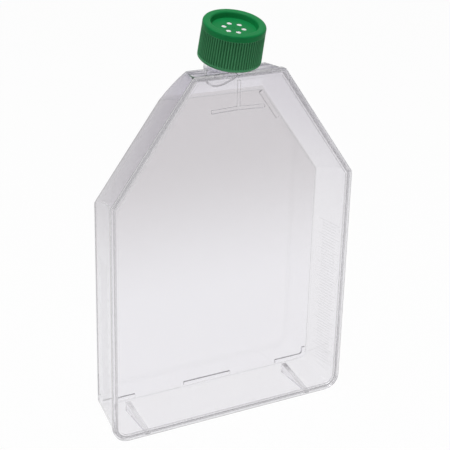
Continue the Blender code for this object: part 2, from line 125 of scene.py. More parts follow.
# Round cushions: shares of the radius and heights against the cap's floor, from the rim inwards.
GATE_SHAPE = ((1, -0.00002), (0.8, 0.00010), (0.45, 0.00018), (0, 0.00022))
GATE_SIDES = 24
WINDOW_SHAPE = ((1, -0.00110), (1, -0.00027), (0.9, -0.00018), (0.7, -0.00012), (0.4, -0.00009),
                (0, -0.00008))
WINDOW_SIDES = 32
WINDOW_GAP = 0.00005

# The studio. The floor's glow is its share of white where it is seen, and the rest keeps the shadow.
FLOOR_GREY = (0.93, 0.93, 0.93)
FLOOR_GLOW = 0.97
FLOOR_DROP = 0.0002
LAMP_WIDTH = 0.8
LAMP_AIM = Vector((0, 0, 0.1))
WHITE = (1, 1, 1)


class FlaskColours(PropertyGroup):
    """Colours of the pieces, among them painted light and shade."""

    wall_tone: FloatVectorProperty(
        name="Clear wall", description="What a side wall lets through near the base",
        subtype="COLOR", default=(0.905, 0.900, 0.915), min=0, max=1)
    # Painted shade: the walls darken towards the neck.
    wall_painted_shade_near_neck: FloatVectorProperty(
        name="Clear wall near the neck", description="What a wall lets through near the neck",
        subtype="COLOR", default=(0.680, 0.662, 0.708), min=0, max=1)
    # Painted shade on the top wall.
    top_wall_painted_shade: FloatVectorProperty(
        name="Top wall", description="What the top wall lets through", subtype="COLOR",
        default=(0.560, 0.556, 0.610), min=0, max=1)
    # The top wall's flow marks, drawn as streaks of painted shade and painted highlight.
    streak_painted_shade: FloatVectorProperty(
        name="Dark streaks", description="What the top wall's dark flow streaks let through",
        subtype="COLOR", default=(0.150, 0.148, 0.190), min=0, max=1)
    streak_painted_highlight: FloatVectorProperty(
        name="Light streaks", description="What the top wall's light flow streaks let through",
        subtype="COLOR", default=(1.0, 1.0, 1.0), min=0, max=1)
    neck_tone: FloatVectorProperty(
        name="Neck", description="What the neck lets through", subtype="COLOR",
        default=(0.990, 0.990, 0.995), min=0, max=1)
    face_tone: FloatVectorProperty(
        name="Growth face", description="What the growth face lets through near the base",
        subtype="COLOR", default=(0.910, 0.902, 0.934), min=0, max=1)
    # Painted shade: the growth face darkens towards the neck.
    face_painted_shade_near_neck: FloatVectorProperty(
        name="Growth face near the neck", description="What the growth face lets through near the neck",
        subtype="COLOR", default=(0.535, 0.507, 0.518), min=0, max=1)
    plate_tone: FloatVectorProperty(
        name="Front plate", description="What the front plate lets through", subtype="COLOR",
        default=(0.922, 0.916, 0.928), min=0, max=1)
    # Painted light: the front plate lightens towards the neck.
    plate_painted_light_near_neck: FloatVectorProperty(
        name="Front plate near the neck", description="What the front plate lets through near the neck",
        subtype="COLOR", default=(0.985, 0.978, 0.985), min=0, max=1)
    # Painted shade on the rounded edges, darker towards the neck.
    edge_painted_shade: FloatVectorProperty(
        name="Clear edges", description="What the rounded edges let through near the base",
        subtype="COLOR", default=(0.80, 0.80, 0.81), min=0, max=1)
    edge_painted_shade_near_neck: FloatVectorProperty(
        name="Clear edges near the neck", description="What the rounded edges let through near the neck",
        subtype="COLOR", default=(0.42, 0.42, 0.44), min=0, max=1)
    tick_tone: FloatVectorProperty(
        name="Graduations", description="Colour of the frosted graduation lines", subtype="COLOR",
        default=(0.78, 0.78, 0.82), min=0, max=1)
    tick_shade: FloatVectorProperty(
        name="Graduations, shaded", description="Darker patches of the graduation lines",
        subtype="COLOR", default=(0.66, 0.66, 0.70), min=0, max=1)
    cap_green: FloatVectorProperty(
        name="Cap", description="Green of the moulded cap", subtype="COLOR",
        default=(0.004, 0.238, 0.060), min=0, max=1)
    cap_green_worn: FloatVectorProperty(
        name="Cap, lighter", description="Lighter green of the cap's flow marks", subtype="COLOR",
        default=(0.006, 0.272, 0.073), min=0, max=1)
    # Painted highlight on the rib crests and painted shade in the grooves.
    rib_crest_painted_highlight: FloatVectorProperty(
        name="Rib crests", description="Green of the crests of the cap's ribs", subtype="COLOR",
        default=(0.105, 0.445, 0.195), min=0, max=1)
    groove_painted_shade: FloatVectorProperty(
        name="Rib grooves", description="Green of the grooves between the cap's ribs",
        subtype="COLOR", default=(0.006, 0.115, 0.032), min=0, max=1)
    # Painted shade on the upper sides of the dashes and on one side of the plate's T-shaped rib.
    foot_painted_shade: FloatVectorProperty(
        name="Foot edges", description="What the upper side of a dash lets through",
        subtype="COLOR", default=(0.18, 0.18, 0.19), min=0, max=1)
    membrane_white: FloatVectorProperty(
        name="Membrane", description="White of the filter membrane", subtype="COLOR",
        default=(0.97, 0.98, 0.97), min=0, max=1)
    membrane_shade: FloatVectorProperty(
        name="Membrane, shaded", description="Darker patches of the membrane", subtype="COLOR",
        default=(0.92, 0.95, 0.93), min=0, max=1)
    seal_white: FloatVectorProperty(
        name="Seal ring", description="White of the seal ring", subtype="COLOR",
        default=(0.84, 0.85, 0.84), min=0, max=1)
    seal_shade: FloatVectorProperty(
        name="Seal ring, shaded", description="Darker patches of the seal ring", subtype="COLOR",
        default=(0.78, 0.79, 0.78), min=0, max=1)


class FlaskSizes(PropertyGroup):
    """Sizes of what is added to the solids."""

    smooth_angle: FloatProperty(
        name="Smooth angle", description="Edges under this angle are shaded round", subtype="ANGLE",
        default=math.radians(30), min=0, max=math.pi)
    edge_rounding: FloatProperty(
        name="Edge rounding", description="Rounding of the body's moulded edges", unit="LENGTH",
        default=0.00027, min=0.00005)
    foot_height: FloatProperty(
        name="Foot height", description="How far the dashes stand out of the growth face",
        unit="LENGTH", default=0.0012, min=0.0001)
    bore_reach: FloatProperty(
        name="Bore reach", description="Edges nearer than this to the neck's foot aren't rounded",
        unit="LENGTH", default=0.0122, min=0.001)
    # The top wall's height and the streaks place the painted shade and highlight of its flow marks.
    top_height: FloatProperty(
        name="Top height", description="Height of the top wall", unit="LENGTH", default=0.2058,
        min=0.001)
    streak_stretch: FloatVectorProperty(
        name="Streaks", description="Flow streaks to a metre along each axis", subtype="XYZ",
        default=(45, 380, 380))
    rail_place: FloatProperty(
        name="Rail place", description="From the middle of the base to the middle of a rail",
        unit="LENGTH", default=0.0534, min=0.001)
    rail_width: FloatProperty(
        name="Rail width", description="Half the width in which a rail lies", unit="LENGTH",
        default=0.0035, min=0.0005)
    rail_start: FloatProperty(
        name="Rail start", description="Depth at which the rails start", unit="LENGTH",
        default=-0.0112)
    rail_height: FloatProperty(
        name="Rail height", description="Height under which a rail lies", unit="LENGTH",
        default=0.0090, min=0.001)
    # The box marks where the plate's T-shaped rib gets painted shade.
    rib_box_low: FloatVectorProperty(
        name="Rib box, low", description="Low corner of a box round the plate's T-shaped rib",
        subtype="TRANSLATION", default=(-0.0175, -0.0104, 0.1650))
    rib_box_high: FloatVectorProperty(
        name="Rib box, high", description="High corner of a box round the plate's T-shaped rib",
        subtype="TRANSLATION", default=(0.0175, -0.0080, 0.2036))
    plate_edge_rounding: FloatProperty(
        name="Plate edge rounding", description="Rounding of the front plate's edges", unit="LENGTH",
        default=0.00012, min=0.00005)
    tick_pitch: FloatProperty(
        name="Tick pitch", description="Height from one graduation line to the next", unit="LENGTH",
        default=0.00185, min=0.0005)
    tick_count: IntProperty(
        name="Ticks", description="Graduation lines on each side wall", default=51, min=2)
    tick_width: FloatProperty(
        name="Tick width", description="Height of one graduation line", unit="LENGTH",
        default=0.00035, min=0.00005)
    tick_relief: FloatProperty(
        name="Tick relief", description="How far a graduation line stands out", unit="LENGTH",
        default=0.00010, min=0.00002)
    lowest_tick: FloatProperty(
        name="Lowest tick", description="Height of the first graduation line", unit="LENGTH",
        default=0.0115, min=0)
    thread_lead: FloatProperty(
        name="Thread lead", description="Climb of the thread in one turn", unit="LENGTH",
        default=0.0060, min=0.001)
    thread_height: FloatProperty(
        name="Thread height", description="How far the thread stands out of the neck", unit="LENGTH",
        default=0.0008, min=0.0001)
    thread_width: FloatProperty(
        name="Thread width", description="Width of the thread at its root", unit="LENGTH",
        default=0.0012, min=0.0002)
    vent_count: IntProperty(name="Vents", description="Vents in the cap's floor", default=6, min=1)
    vent_ring: FloatProperty(
        name="Vent ring", description="From the middle of the cap to the middle of a vent",
        unit="LENGTH", default=0.0053, min=0.001)
    vent_radius: FloatProperty(
        name="Vent radius", description="Radius of a vent", unit="LENGTH", default=0.0015, min=0.0005)
    vent_floor: FloatProperty(
        name="Cap floor", description="Height of the cap's floor on the neck's axis", unit="LENGTH",
        default=0.0233, min=0.001)
    # The sizes from here to the skirt's inside place the painted highlight on the rib crests and the
    # painted shade in the grooves.
    rib_crest: FloatProperty(
        name="Rib crest", description="Radius of the cap at the crest of a rib", unit="LENGTH",
        default=0.01738, min=0.001)
    rib_depth: FloatProperty(
        name="Rib depth", description="Depth of the grooves between ribs", unit="LENGTH",
        default=0.00045, min=0.0001)
    rib_end: FloatProperty(
        name="Rib end", description="Height on the neck's axis at which the ribs end", unit="LENGTH",
        default=0.0230, min=0.001)
    cap_taper: FloatProperty(
        name="Cap taper", description="How much the cap's radius falls for each metre of height",
        default=0.0145, min=0)
    skirt_inside: FloatProperty(
        name="Skirt inside", description="Radius under which a point is inside the skirt",
        unit="LENGTH", default=0.0160, min=0.001)
    gate_radius: FloatProperty(
        name="Gate mark", description="Radius of the moulding mark in the middle of the cap",
        unit="LENGTH", default=0.0009, min=0.0002)


class StageSizes(PropertyGroup):
    """The camera, the lamps and the floor."""

    camera_place: FloatVectorProperty(
        name="Camera", description="Where the camera stands", subtype="TRANSLATION",
        default=(-0.3002, -0.5416944, 0.3641))
    camera_azimuth: FloatProperty(
        name="Azimuth", description="How far the view turns from the front", subtype="ANGLE",
        default=math.radians(28.97))
    camera_elevation: FloatProperty(
        name="Elevation", description="How far the view looks down", subtype="ANGLE",
        default=math.radians(21.88))
    camera_roll: FloatProperty(
        name="Roll", description="How far the camera leans", subtype="ANGLE",
        default=math.radians(1.45))
    camera_lens: FloatProperty(
        name="Lens", description="Focal length in millimetres", default=94.88, min=1)
    floor_size: FloatProperty(
        name="Floor", description="Width of the floor", unit="LENGTH", default=6.0, min=1)
    lamp_power: FloatProperty(
        name="Main lamp", description="Power of the lamp overhead, in watts", default=8.5, min=0)
    fill_power: FloatProperty(
        name="Side lamps", description="Power of the lamps at the sides, in watts", default=0.5, min=0)
    room_light: FloatProperty(
        name="Room", description="Strength of the even light from all round", default=0.16, min=0)
    mirror_share: FloatProperty(
        name="Mirrored white", description="How much of the white round about shows in mirror images",
        default=0.5, min=0, max=1)


def feed(tree, socket, value):
    """Link a socket to a node's output, or set it to a number, a vector or a colour."""
    if isinstance(value, NodeSocket):
        tree.links.new(value, socket)
    elif socket.type == "RGBA":
        socket.default_value = (*value, 1)
    else:
        socket.default_value = value


def calculate(tree, node_type, kind, *values):
    """The result of a node that does one operation on numbers, vectors or outputs of nodes."""
    node = tree.nodes.new(node_type)
    node.operation = kind
    for socket, value in zip([socket for socket in node.inputs if socket.enabled], values):
        feed(tree, socket, value)
    return next(socket for socket in node.outputs if socket.enabled)


def number(tree, kind, *values):
    """The result of a sum on numbers."""
    return calculate(tree, "ShaderNodeMath", kind, *values)


def vector(tree, kind, *values):
    """The result of a sum on vectors."""
    return calculate(tree, "ShaderNodeVectorMath", kind, *values)


def compare(tree, kind, value, limit):
    """A test of a value against a limit, in a geometry node group."""
    return calculate(tree, "FunctionNodeCompare", kind, value, limit)


def join_tests(tree, kind, first, second):
    """Two tests joined into one, in a geometry node group."""
    return calculate(tree, "FunctionNodeBooleanMath", kind, first, second)


def blend(tree, data_type, share, first, second):
    """The blend of two numbers or colours."""
    mix = tree.nodes.new("ShaderNodeMix")
    mix.data_type = data_type
    for label, value in (("Factor", share), ("A", first), ("B", second)):
        feed(tree, mix.inputs[label], value)
    return mix.outputs["Result"]


def spread(tree, value, low, high, first=0, last=1, interpolation="LINEAR"):
    """A value between low and high, brought to the range from first to last."""
    span = tree.nodes.new("ShaderNodeMapRange")
    span.interpolation_type = interpolation
    for label, amount in (("Value", value), ("From Min", low), ("From Max", high),
                          ("To Min", first), ("To Max", last)):
        feed(tree, span.inputs[label], amount)
    return span.outputs["Result"]


def object_place(tree):
    """The place of a point on its object."""
    return tree.nodes.new("ShaderNodeTexCoord").outputs["Object"]


def parts_of(tree, value):
    """The X, Y and Z of a vector."""
    split = tree.nodes.new("ShaderNodeSeparateXYZ")
    tree.links.new(value, split.inputs[0])
    return split.outputs


def noise(tree, place, scale, detail):
    """A soft noise at a place."""
    node = tree.nodes.new("ShaderNodeTexNoise")
    for label, value in (("Vector", place), ("Scale", scale), ("Detail", detail)):
        feed(tree, node.inputs[label], value)
    return node.outputs["Fac"]


def mix_shaders(tree, share, first, second, output):
    """Send the mix of two shaders to an output node."""
    mix = tree.nodes.new("ShaderNodeMixShader")
    for socket, value in zip(mix.inputs, (share, first.outputs[0], second.outputs[0])):
        tree.links.new(value, socket)
    tree.links.new(mix.outputs[0], output.inputs["Surface"])


def new_group(name, inputs, outputs):
    """A shader node group with named sockets, and its input and output nodes."""
    group = bpy.data.node_groups.new(name, "ShaderNodeTree")
    for label, kind, value in inputs:
        socket = group.interface.new_socket(label, in_out="INPUT", socket_type=kind)
        socket.default_value = value
    for label, kind in outputs:
        group.interface.new_socket(label, in_out="OUTPUT", socket_type=kind)
    return group, group.nodes.new("NodeGroupInput").outputs, group.nodes.new("NodeGroupOutput").inputs


def height_tone_group():
    """A colour that changes smoothly with the height on the object."""
    group, given, result = new_group(
        "height_tone",
        [("Low Colour", "NodeSocketColor", (*WHITE, 1)), ("High Colour", "NodeSocketColor", (*WHITE, 1)),
         ("Low Height", "NodeSocketFloat", 0.0), ("High Height", "NodeSocketFloat", 1.0)],
        [("Colour", "NodeSocketColor")])
    share = spread(group, parts_of(group, object_place(group))["Z"], given["Low Height"],
                   given["High Height"], interpolation="SMOOTHSTEP")
    group.links.new(blend(group, "RGBA", share, given["Low Colour"], given["High Colour"]),
                    result["Colour"])
    return group


def depth_mask_group():
    """One behind a depth of the object and zero in front of it."""
    group, given, result = new_group(
        "depth_mask", [("Depth", "NodeSocketFloat", 0.0), ("Softness", "NodeSocketFloat", 0.001)],
        [("Mask", "NodeSocketFloat")])
    end = number(group, "ADD", given["Depth"], given["Softness"])
    group.links.new(spread(group, parts_of(group, object_place(group))["Y"], given["Depth"], end),
                    result["Mask"])
    return group


def about_neck_group():
    """The height and the radius of a point about the neck's axis."""
    group, given, result = new_group(
        "about_neck", [("Foot", "NodeSocketVector", (0, 0, 0)), ("Axis", "NodeSocketVector", (0, 0, 1))],
        [("Height", "NodeSocketFloat"), ("Radius", "NodeSocketFloat")])
    reach = vector(group, "SUBTRACT", object_place(group), given["Foot"])
    height = vector(group, "DOT_PRODUCT", reach, given["Axis"])
    aside = vector(group, "SUBTRACT", reach, vector(group, "SCALE", given["Axis"], height))
    group.links.new(height, result["Height"])
    group.links.new(vector(group, "LENGTH", aside), result["Radius"])
    return group


def moulded_skin_group():
    """The faint waves and flow marks of a moulded surface, as a height and a mask."""
    group, given, result = new_group(
        "moulded_skin",
        [("Wave Scale", "NodeSocketFloat", 60.0), ("Grain Scale", "NodeSocketFloat", 900.0),
         ("Grain Share", "NodeSocketFloat", 0.2)],
        [("Height", "NodeSocketFloat"), ("Mask", "NodeSocketFloat")])
    place = object_place(group)
    wave = noise(group, place, given["Wave Scale"], WAVE_DETAIL)
    grain = noise(group, place, given["Grain Scale"], GRAIN_DETAIL)
    group.links.new(blend(group, "FLOAT", given["Grain Share"], wave, grain), result["Height"])
    group.links.new(wave, result["Mask"])
    return group


def effect(name, maker):
    """The node group of a name, built once."""
    return bpy.data.node_groups.get(name) or maker()


def start_material(name):
    """A material with its Principled shader and output."""
    material = bpy.data.materials.new(name)
    material.use_nodes = True
    nodes = material.node_tree.nodes
    return material, nodes["Principled BSDF"], nodes["Material Output"]


def place_group(tree, group, values):
    """The outputs of a group that is placed in a material with its own values."""
    node = tree.nodes.new("ShaderNodeGroup")
    node.node_tree = group
    for label, value in values.items():
        feed(tree, node.inputs[label], value)
    return node.outputs


def place_tone(tree, low, high, heights):
    """A colour that goes from one at a low height to another at a high one."""
    return place_group(tree, effect("height_tone", height_tone_group),
                       {"Low Colour": low, "High Colour": high, "Low Height": heights[0],
                        "High Height": heights[1]})["Colour"]


def give_skin(tree, shader, skin):
    """Drive a shader's normal and roughness from the moulded skin, and give the skin's mask."""
    relief = place_group(tree, effect("moulded_skin", moulded_skin_group),
                         {"Wave Scale": skin.waves, "Grain Scale": skin.grains,
                          "Grain Share": skin.grain_share})
    bump = tree.nodes.new("ShaderNodeBump")
    for label, value in (("Strength", skin.strength), ("Distance", skin.depth),
                         ("Height", relief["Height"])):
        feed(tree, bump.inputs[label], value)
    feed(tree, shader.inputs["Normal"], bump.outputs["Normal"])
    feed(tree, shader.inputs["Roughness"], spread(tree, relief["Mask"], 0, 1, *skin.roughness))
    return relief["Mask"]


def add_painted_streaks(tree, tone, colours, sizes):
    """A tone with streaks of painted shade and highlight along the flow marks where it lies on the top
    wall.
    """
    place = object_place(tree)
    streaks = noise(tree, vector(tree, "MULTIPLY", place, sizes.streak_stretch), 1, STREAK_DETAIL)
    streaked = blend(tree, "RGBA", spread(tree, streaks, *STREAK_RANGE), colours.streak_painted_shade,
                     colours.streak_painted_highlight)
    at_top = number(tree, "COMPARE", parts_of(tree, place)["Z"], sizes.top_height, TOP_BAND)
    return blend(tree, "RGBA", at_top, tone, streaked)


def let_lamps_through(tree, shader, output):
    """Let lamps reach what stands behind a clear wall, and light that is caught in it come out."""
    path = tree.nodes.new("ShaderNodeLightPath").outputs
    caught = number(tree, "GREATER_THAN", path["Glossy Depth"], MOST_MIRRORS)
    clear = tree.nodes.new("ShaderNodeBsdfTransparent")
    feed(tree, clear.inputs["Color"], THROUGH_TONE)
    mix_shaders(tree, number(tree, "MAXIMUM", path["Is Shadow Ray"], caught), shader, clear, output)


def clear_material(name, low, high, colours=None, sizes=None):
    """Clear moulded polystyrene whose tone changes with the height, as painted light and shade.

    With the flask's colours and sizes, the top wall, the neck and the growth face get tones of their
    own, with painted shade on the top wall and the growth face and painted streaks on the top wall.
    """
    material, shader, output = start_material(name)
    shader.inputs["IOR"].default_value = POLYSTYRENE_IOR
    shader.inputs["Transmission Weight"].default_value = 1
    tree = material.node_tree
    # Tones that change with the height are painted light and shade.
    tone = place_tone(tree, low, high, WALL_HEIGHTS)
    if colours:
        tone = place_tone(tree, tone, colours.top_wall_painted_shade, TOP_HEIGHTS)
        tone = place_tone(tree, tone, colours.neck_tone, NECK_HEIGHTS)
        tone = add_painted_streaks(tree, tone, colours, sizes)
        face = place_tone(tree, colours.face_tone, colours.face_painted_shade_near_neck, FACE_HEIGHTS)
        behind = place_group(tree, effect("depth_mask", depth_mask_group),
                             {"Depth": BODY_HIGH.y - FACE_THICKNESS, "Softness": FACE_BLEND})
        tone = blend(tree, "RGBA", behind["Mask"], tone, face)
    feed(tree, shader.inputs["Base Color"], tone)
    give_skin(tree, shader, CLEAR_SKIN)
    let_lamps_through(tree, shader, output)
    return material


def solid_material(name, low, high, skin):
    """An opaque moulded plastic between two near colours."""
    material, shader, output = start_material(name)
    tree = material.node_tree
    mask = give_skin(tree, shader, skin)
    feed(tree, shader.inputs["Base Color"], blend(tree, "RGBA", mask, low, high))
    shader.inputs["Specular IOR Level"].default_value = SOLID_GLOSS
    return material


def paint_rib_highlight_and_shade(material, groove, crest, sizes):
    """Paint a highlight on the crests of the cap's ribs and shade in the grooves between them."""
    tree = material.node_tree
    base = tree.nodes["Principled BSDF"].inputs["Base Color"]
    about = place_group(tree, effect("about_neck", about_neck_group),
                        {"Foot": NECK_FOOT, "Axis": NECK_AXIS})
    straight = number(tree, "MULTIPLY_ADD", about["Height"], sizes.cap_taper, about["Radius"])
    rise = spread(tree, straight, sizes.rib_crest - sizes.rib_depth, sizes.rib_crest)
    # Painted shade in the grooves and painted highlight on the crests.
    ribs = blend(tree, "RGBA", rise, groove, crest)
    below = number(tree, "LESS_THAN", about["Height"], sizes.rib_end)
    outside = number(tree, "GREATER_THAN", about["Radius"], sizes.skirt_inside)
    on_skirt = number(tree, "MULTIPLY", below, outside)
    feed(tree, base, blend(tree, "RGBA", on_skirt, base.links[0].from_socket, ribs))


def new_shape_group(name, inputs):
    """A geometry node group that takes and gives one mesh, and what it is given and gives."""
    group = bpy.data.node_groups.new(name, "GeometryNodeTree")
    group.interface.new_socket("Geometry", in_out="INPUT", socket_type="NodeSocketGeometry")
    for label, value in inputs.items():
        socket = group.interface.new_socket(label, in_out="INPUT", socket_type="NodeSocketFloat")
        socket.default_value = value
    group.interface.new_socket("Geometry", in_out="OUTPUT", socket_type="NodeSocketGeometry")
    return group, group.nodes.new("NodeGroupInput").outputs, group.nodes.new("NodeGroupOutput").inputs


def joined_skin_group():
    """Joins the facets of a solid into one skin."""
    group, given, result = new_shape_group("joined_skin", {})
    merge = group.nodes.new("GeometryNodeMergeByDistance")
    merge.inputs["Distance"].default_value = WELD_DISTANCE
    group.links.new(given["Geometry"], merge.inputs["Geometry"])
    group.links.new(merge.outputs["Geometry"], result["Geometry"])
    return group


def inside_box(group, parts, low, high):
    """A test of whether a place lies in a box, in a geometry node group."""
    total = None
    for index, label in enumerate("XYZ"):
        for kind, limit in (("GREATER_THAN", low[index]), ("LESS_THAN", high[index])):
            test = compare(group, kind, parts[label], limit)
            total = test if total is None else join_tests(group, "AND", total, test)
    return total


def edges_to_spare(group, place, sizes):
    """A test for the edges of the dashes, the rails and the bore, and one for the dashes alone."""
    parts = parts_of(group, place)
    margin = sizes.foot_height * FOOT_MARGIN
    face = BODY_HIGH.y - sizes.foot_height
    angle = group.nodes.new("GeometryNodeInputMeshEdgeAngle").outputs["Signed Angle"]
    on_feet = compare(group, "GREATER_THAN", parts["Y"], face + margin)
    hollow = compare(group, "LESS_THAN", angle, 0)
    at_face = compare(group, "GREATER_THAN", parts["Y"], face - margin)
    in_bore = compare(group, "LESS_THAN", vector(group, "DISTANCE", place, NECK_FOOT), sizes.bore_reach)
    spared = join_tests(group, "OR", join_tests(group, "AND", hollow, at_face),
                        join_tests(group, "OR", on_feet, in_bore))
    for hand in (-1, 1):
        middle = hand * sizes.rail_place
        on_rail = inside_box(group, parts, (middle - sizes.rail_width, sizes.rail_start, -FAR),
                             (middle + sizes.rail_width, FAR, sizes.rail_height))
        spared = join_tests(group, "OR", spared, on_rail)
    return spared, on_feet


def moulded_edges_group():
    """Shades shallow edges round, marks the sharp ones to be rounded, and marks faces for painted shade.

    The faces with painted shade are the upper sides of the dashes and one side of the plate's T-shaped
    rib.
    """
    sizes = bpy.context.scene.flask_sizes
    group, given, result = new_shape_group("moulded_edges", {"Angle": sizes.smooth_angle})
    link = group.links.new
    angle = group.nodes.new("GeometryNodeInputMeshEdgeAngle").outputs["Unsigned Angle"]
    sharp = compare(group, "GREATER_THAN", angle, given["Angle"])
    normal = group.nodes.new("GeometryNodeSetMeshNormal")
    normal.mode = "SHARPNESS"
    normal.inputs["Remove Custom"].default_value = True
    link(given["Geometry"], normal.inputs["Mesh"])
    link(sharp, normal.inputs["Edge Sharpness"])
    place = group.nodes.new("GeometryNodeInputPosition").outputs[0]
    spared, on_feet = edges_to_spare(group, place, sizes)
    store = group.nodes.new("GeometryNodeStoreNamedAttribute")
    store.data_type = "FLOAT"
    store.domain = "EDGE"
    store.inputs["Name"].default_value = "bevel_weight_edge"
    link(normal.outputs["Mesh"], store.inputs["Geometry"])
    link(join_tests(group, "NIMPLY", sharp, spared), store.inputs["Value"])
    faced = parts_of(group, group.nodes.new("GeometryNodeInputNormal").outputs[0])
    upper = compare(group, "GREATER_THAN", faced["Z"], FACING)
    sideways = join_tests(group, "OR", compare(group, "GREATER_THAN", faced["X"], FACING), upper)
    on_rib = inside_box(group, parts_of(group, place), sizes.rib_box_low, sizes.rib_box_high)
    # Painted shade on the dashes' upper sides and on one side of the T-shaped rib.
    finish = group.nodes.new("GeometryNodeSetMaterialIndex")
    finish.inputs["Material Index"].default_value = PAINTED_SHADE_FINISH
    link(store.outputs["Geometry"], finish.inputs["Geometry"])
    link(join_tests(group, "OR", join_tests(group, "AND", on_feet, upper),
                    join_tests(group, "AND", on_rib, sideways)), finish.inputs["Selection"])
    link(finish.outputs["Geometry"], result["Geometry"])
    return group


def smooth_piece(piece, rounding):
    """Round a piece's edges a little, and shade its curves round and its broad faces flat."""
    skin = piece.modifiers.new("joined_skin", "NODES")
    skin.node_group = effect("joined_skin", joined_skin_group)
    if rounding:
        panels = piece.modifiers.new("whole_panels", "DECIMATE")
        panels.decimate_type = "DISSOLVE"
        panels.angle_limit = PANEL_ANGLE
    edges = piece.modifiers.new("moulded_edges", "NODES")
    edges.node_group = effect("moulded_edges", moulded_edges_group)
    if rounding:
        bevel = piece.modifiers.new("rounded_edges", "BEVEL")
        bevel.width = rounding
        bevel.segments = ROUNDING_STEPS
        bevel.material = EDGE_FINISH
        bevel.limit_method = "WEIGHT"
        bevel.use_clamp_overlap = False
    weighting = piece.modifiers.new("broad_faces_flat", "WEIGHTED_NORMAL")
    weighting.keep_sharp = True


def dress_node(name, materials, rounding=0):
    """Give a solid of the frame its finish, the second one on its rounded edges."""
    node = FRAME["nodes"][name]
    node.data.materials.clear()
    for material in materials:
        node.data.materials.append(material)
    smooth_piece(node, rounding)


def mesh_from(mesh_data, name, material):
    """A new object with a mesh and its material."""
    mesh = bpy.data.meshes.new(name)
    mesh_data.to_mesh(mesh)
    mesh_data.free()
    mesh.materials.append(material)
    piece = bpy.data.objects.new(name, mesh)
    bpy.context.scene.collection.objects.link(piece)
    return piece


def piece_from(mesh_data, name, material, body):
    """A new piece that rides on a body."""
    piece = mesh_from(mesh_data, name, material)
    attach(piece, body)
    return piece


def shade_round(piece, sizes):
    """Shade a piece round where its edges are shallow."""
    piece.data.shade_smooth()
    piece.data.set_sharp_from_angle(angle=sizes.smooth_angle)


def on_neck(height, radius, turn):
    """A point about the neck's axis."""
    side = Vector((1, 0, 0))
    back = NECK_AXIS.cross(side)
    return NECK_FOOT + NECK_AXIS * height + (side * math.cos(turn) + back * math.sin(turn)) * radius


def cushion(mesh_data, radius, shape, sides, floor, centre=Vector()):
    """A closed round cushion on the cap's floor, about a centre beside the neck's axis."""
    rings = []
    for share, rise in shape[:-1]:
        rings.append([mesh_data.verts.new(
            on_neck(floor + rise, radius * share, 2 * math.pi * step / sides) + centre)
            for step in range(sides)])
    top = mesh_data.verts.new(on_neck(floor + shape[-1][1], 0, 0) + centre)
    mesh_data.faces.new(rings[0][::-1])
    for step in range(sides):
        after = (step + 1) % sides
        for lower, upper in zip(rings, rings[1:]):
            mesh_data.faces.new((lower[step], lower[after], upper[after], upper[step]))
        mesh_data.faces.new((rings[-1][step], rings[-1][after], top))


def helix(mesh_data, thread, sizes, first_turn):
    """One start of a thread that fades in and out, inwards where its share is negative."""
    proud = sizes.thread_height * thread.share
    width = sizes.thread_width
    steps = int(THREAD_STEPS * thread.turns)
    rings = []
    for step in range(steps + 1):
        share = step / steps
        turn = first_turn + 2 * math.pi * thread.turns * share
        height = THREAD_START + sizes.thread_lead * thread.turns * share
        fade = min(1, share / THREAD_FADE, (1 - share) / THREAD_FADE)
        fade = fade * fade * (3 - 2 * fade)
        foot = thread.radius - math.copysign(THREAD_SINK, proud)
        crest = thread.radius + proud * fade
        ring = [(height - width / 2, foot), (height - width * THREAD_CREST, crest),
                (height + width * THREAD_CREST, crest), (height + width / 2, foot)]
        rings.append([mesh_data.verts.new(on_neck(level, reach, turn)) for level, reach in ring])
    for low, high in zip(rings, rings[1:]):
        for index in range(4):
            after = (index + 1) % 4
            mesh_data.faces.new((low[index], low[after], high[after], high[index]))
    mesh_data.faces.new(rings[0][::-1])
    mesh_data.faces.new(rings[-1])


def two_starts(thread, sizes):
    """A mesh with both starts of a thread."""
    mesh_data = bmesh.new()
    for half_turns in (0, 1):
        helix(mesh_data, thread, sizes, thread.first_turn + math.pi * half_turns)
    if thread.share < 0:
        bmesh.ops.recalc_face_normals(mesh_data, faces=mesh_data.faces)
    return mesh_data


class FLASK_OT_clear_walls(Operator):
    """Give the body and the front plate their clear plastic, with painted light and shade"""

    bl_idname = "flask.clear_walls"
    bl_label = "Clear walls"

    def execute(self, context):
        colours = context.scene.flask_colours
        sizes = context.scene.flask_sizes
        body = clear_material("clear_polystyrene_body", colours.wall_tone, colours.wall_painted_shade_near_neck,
                              colours, sizes)
        # Painted shade on the rounded edges, and on the dashes' upper sides and the T-shaped rib.
        edge = clear_material("clear_polystyrene_edge_painted_shade", colours.edge_painted_shade, colours.edge_painted_shade_near_neck)
        plate = clear_material("clear_polystyrene_plate", colours.plate_tone, colours.plate_painted_light_near_neck)
        foot = clear_material("clear_polystyrene_foot_painted_shade", colours.foot_painted_shade,
                              colours.foot_painted_shade)
        dress_node("flask_body", (body, edge, foot), sizes.edge_rounding)
        dress_node("front_plate", (plate, edge, foot), sizes.plate_edge_rounding)
        return {"FINISHED"}


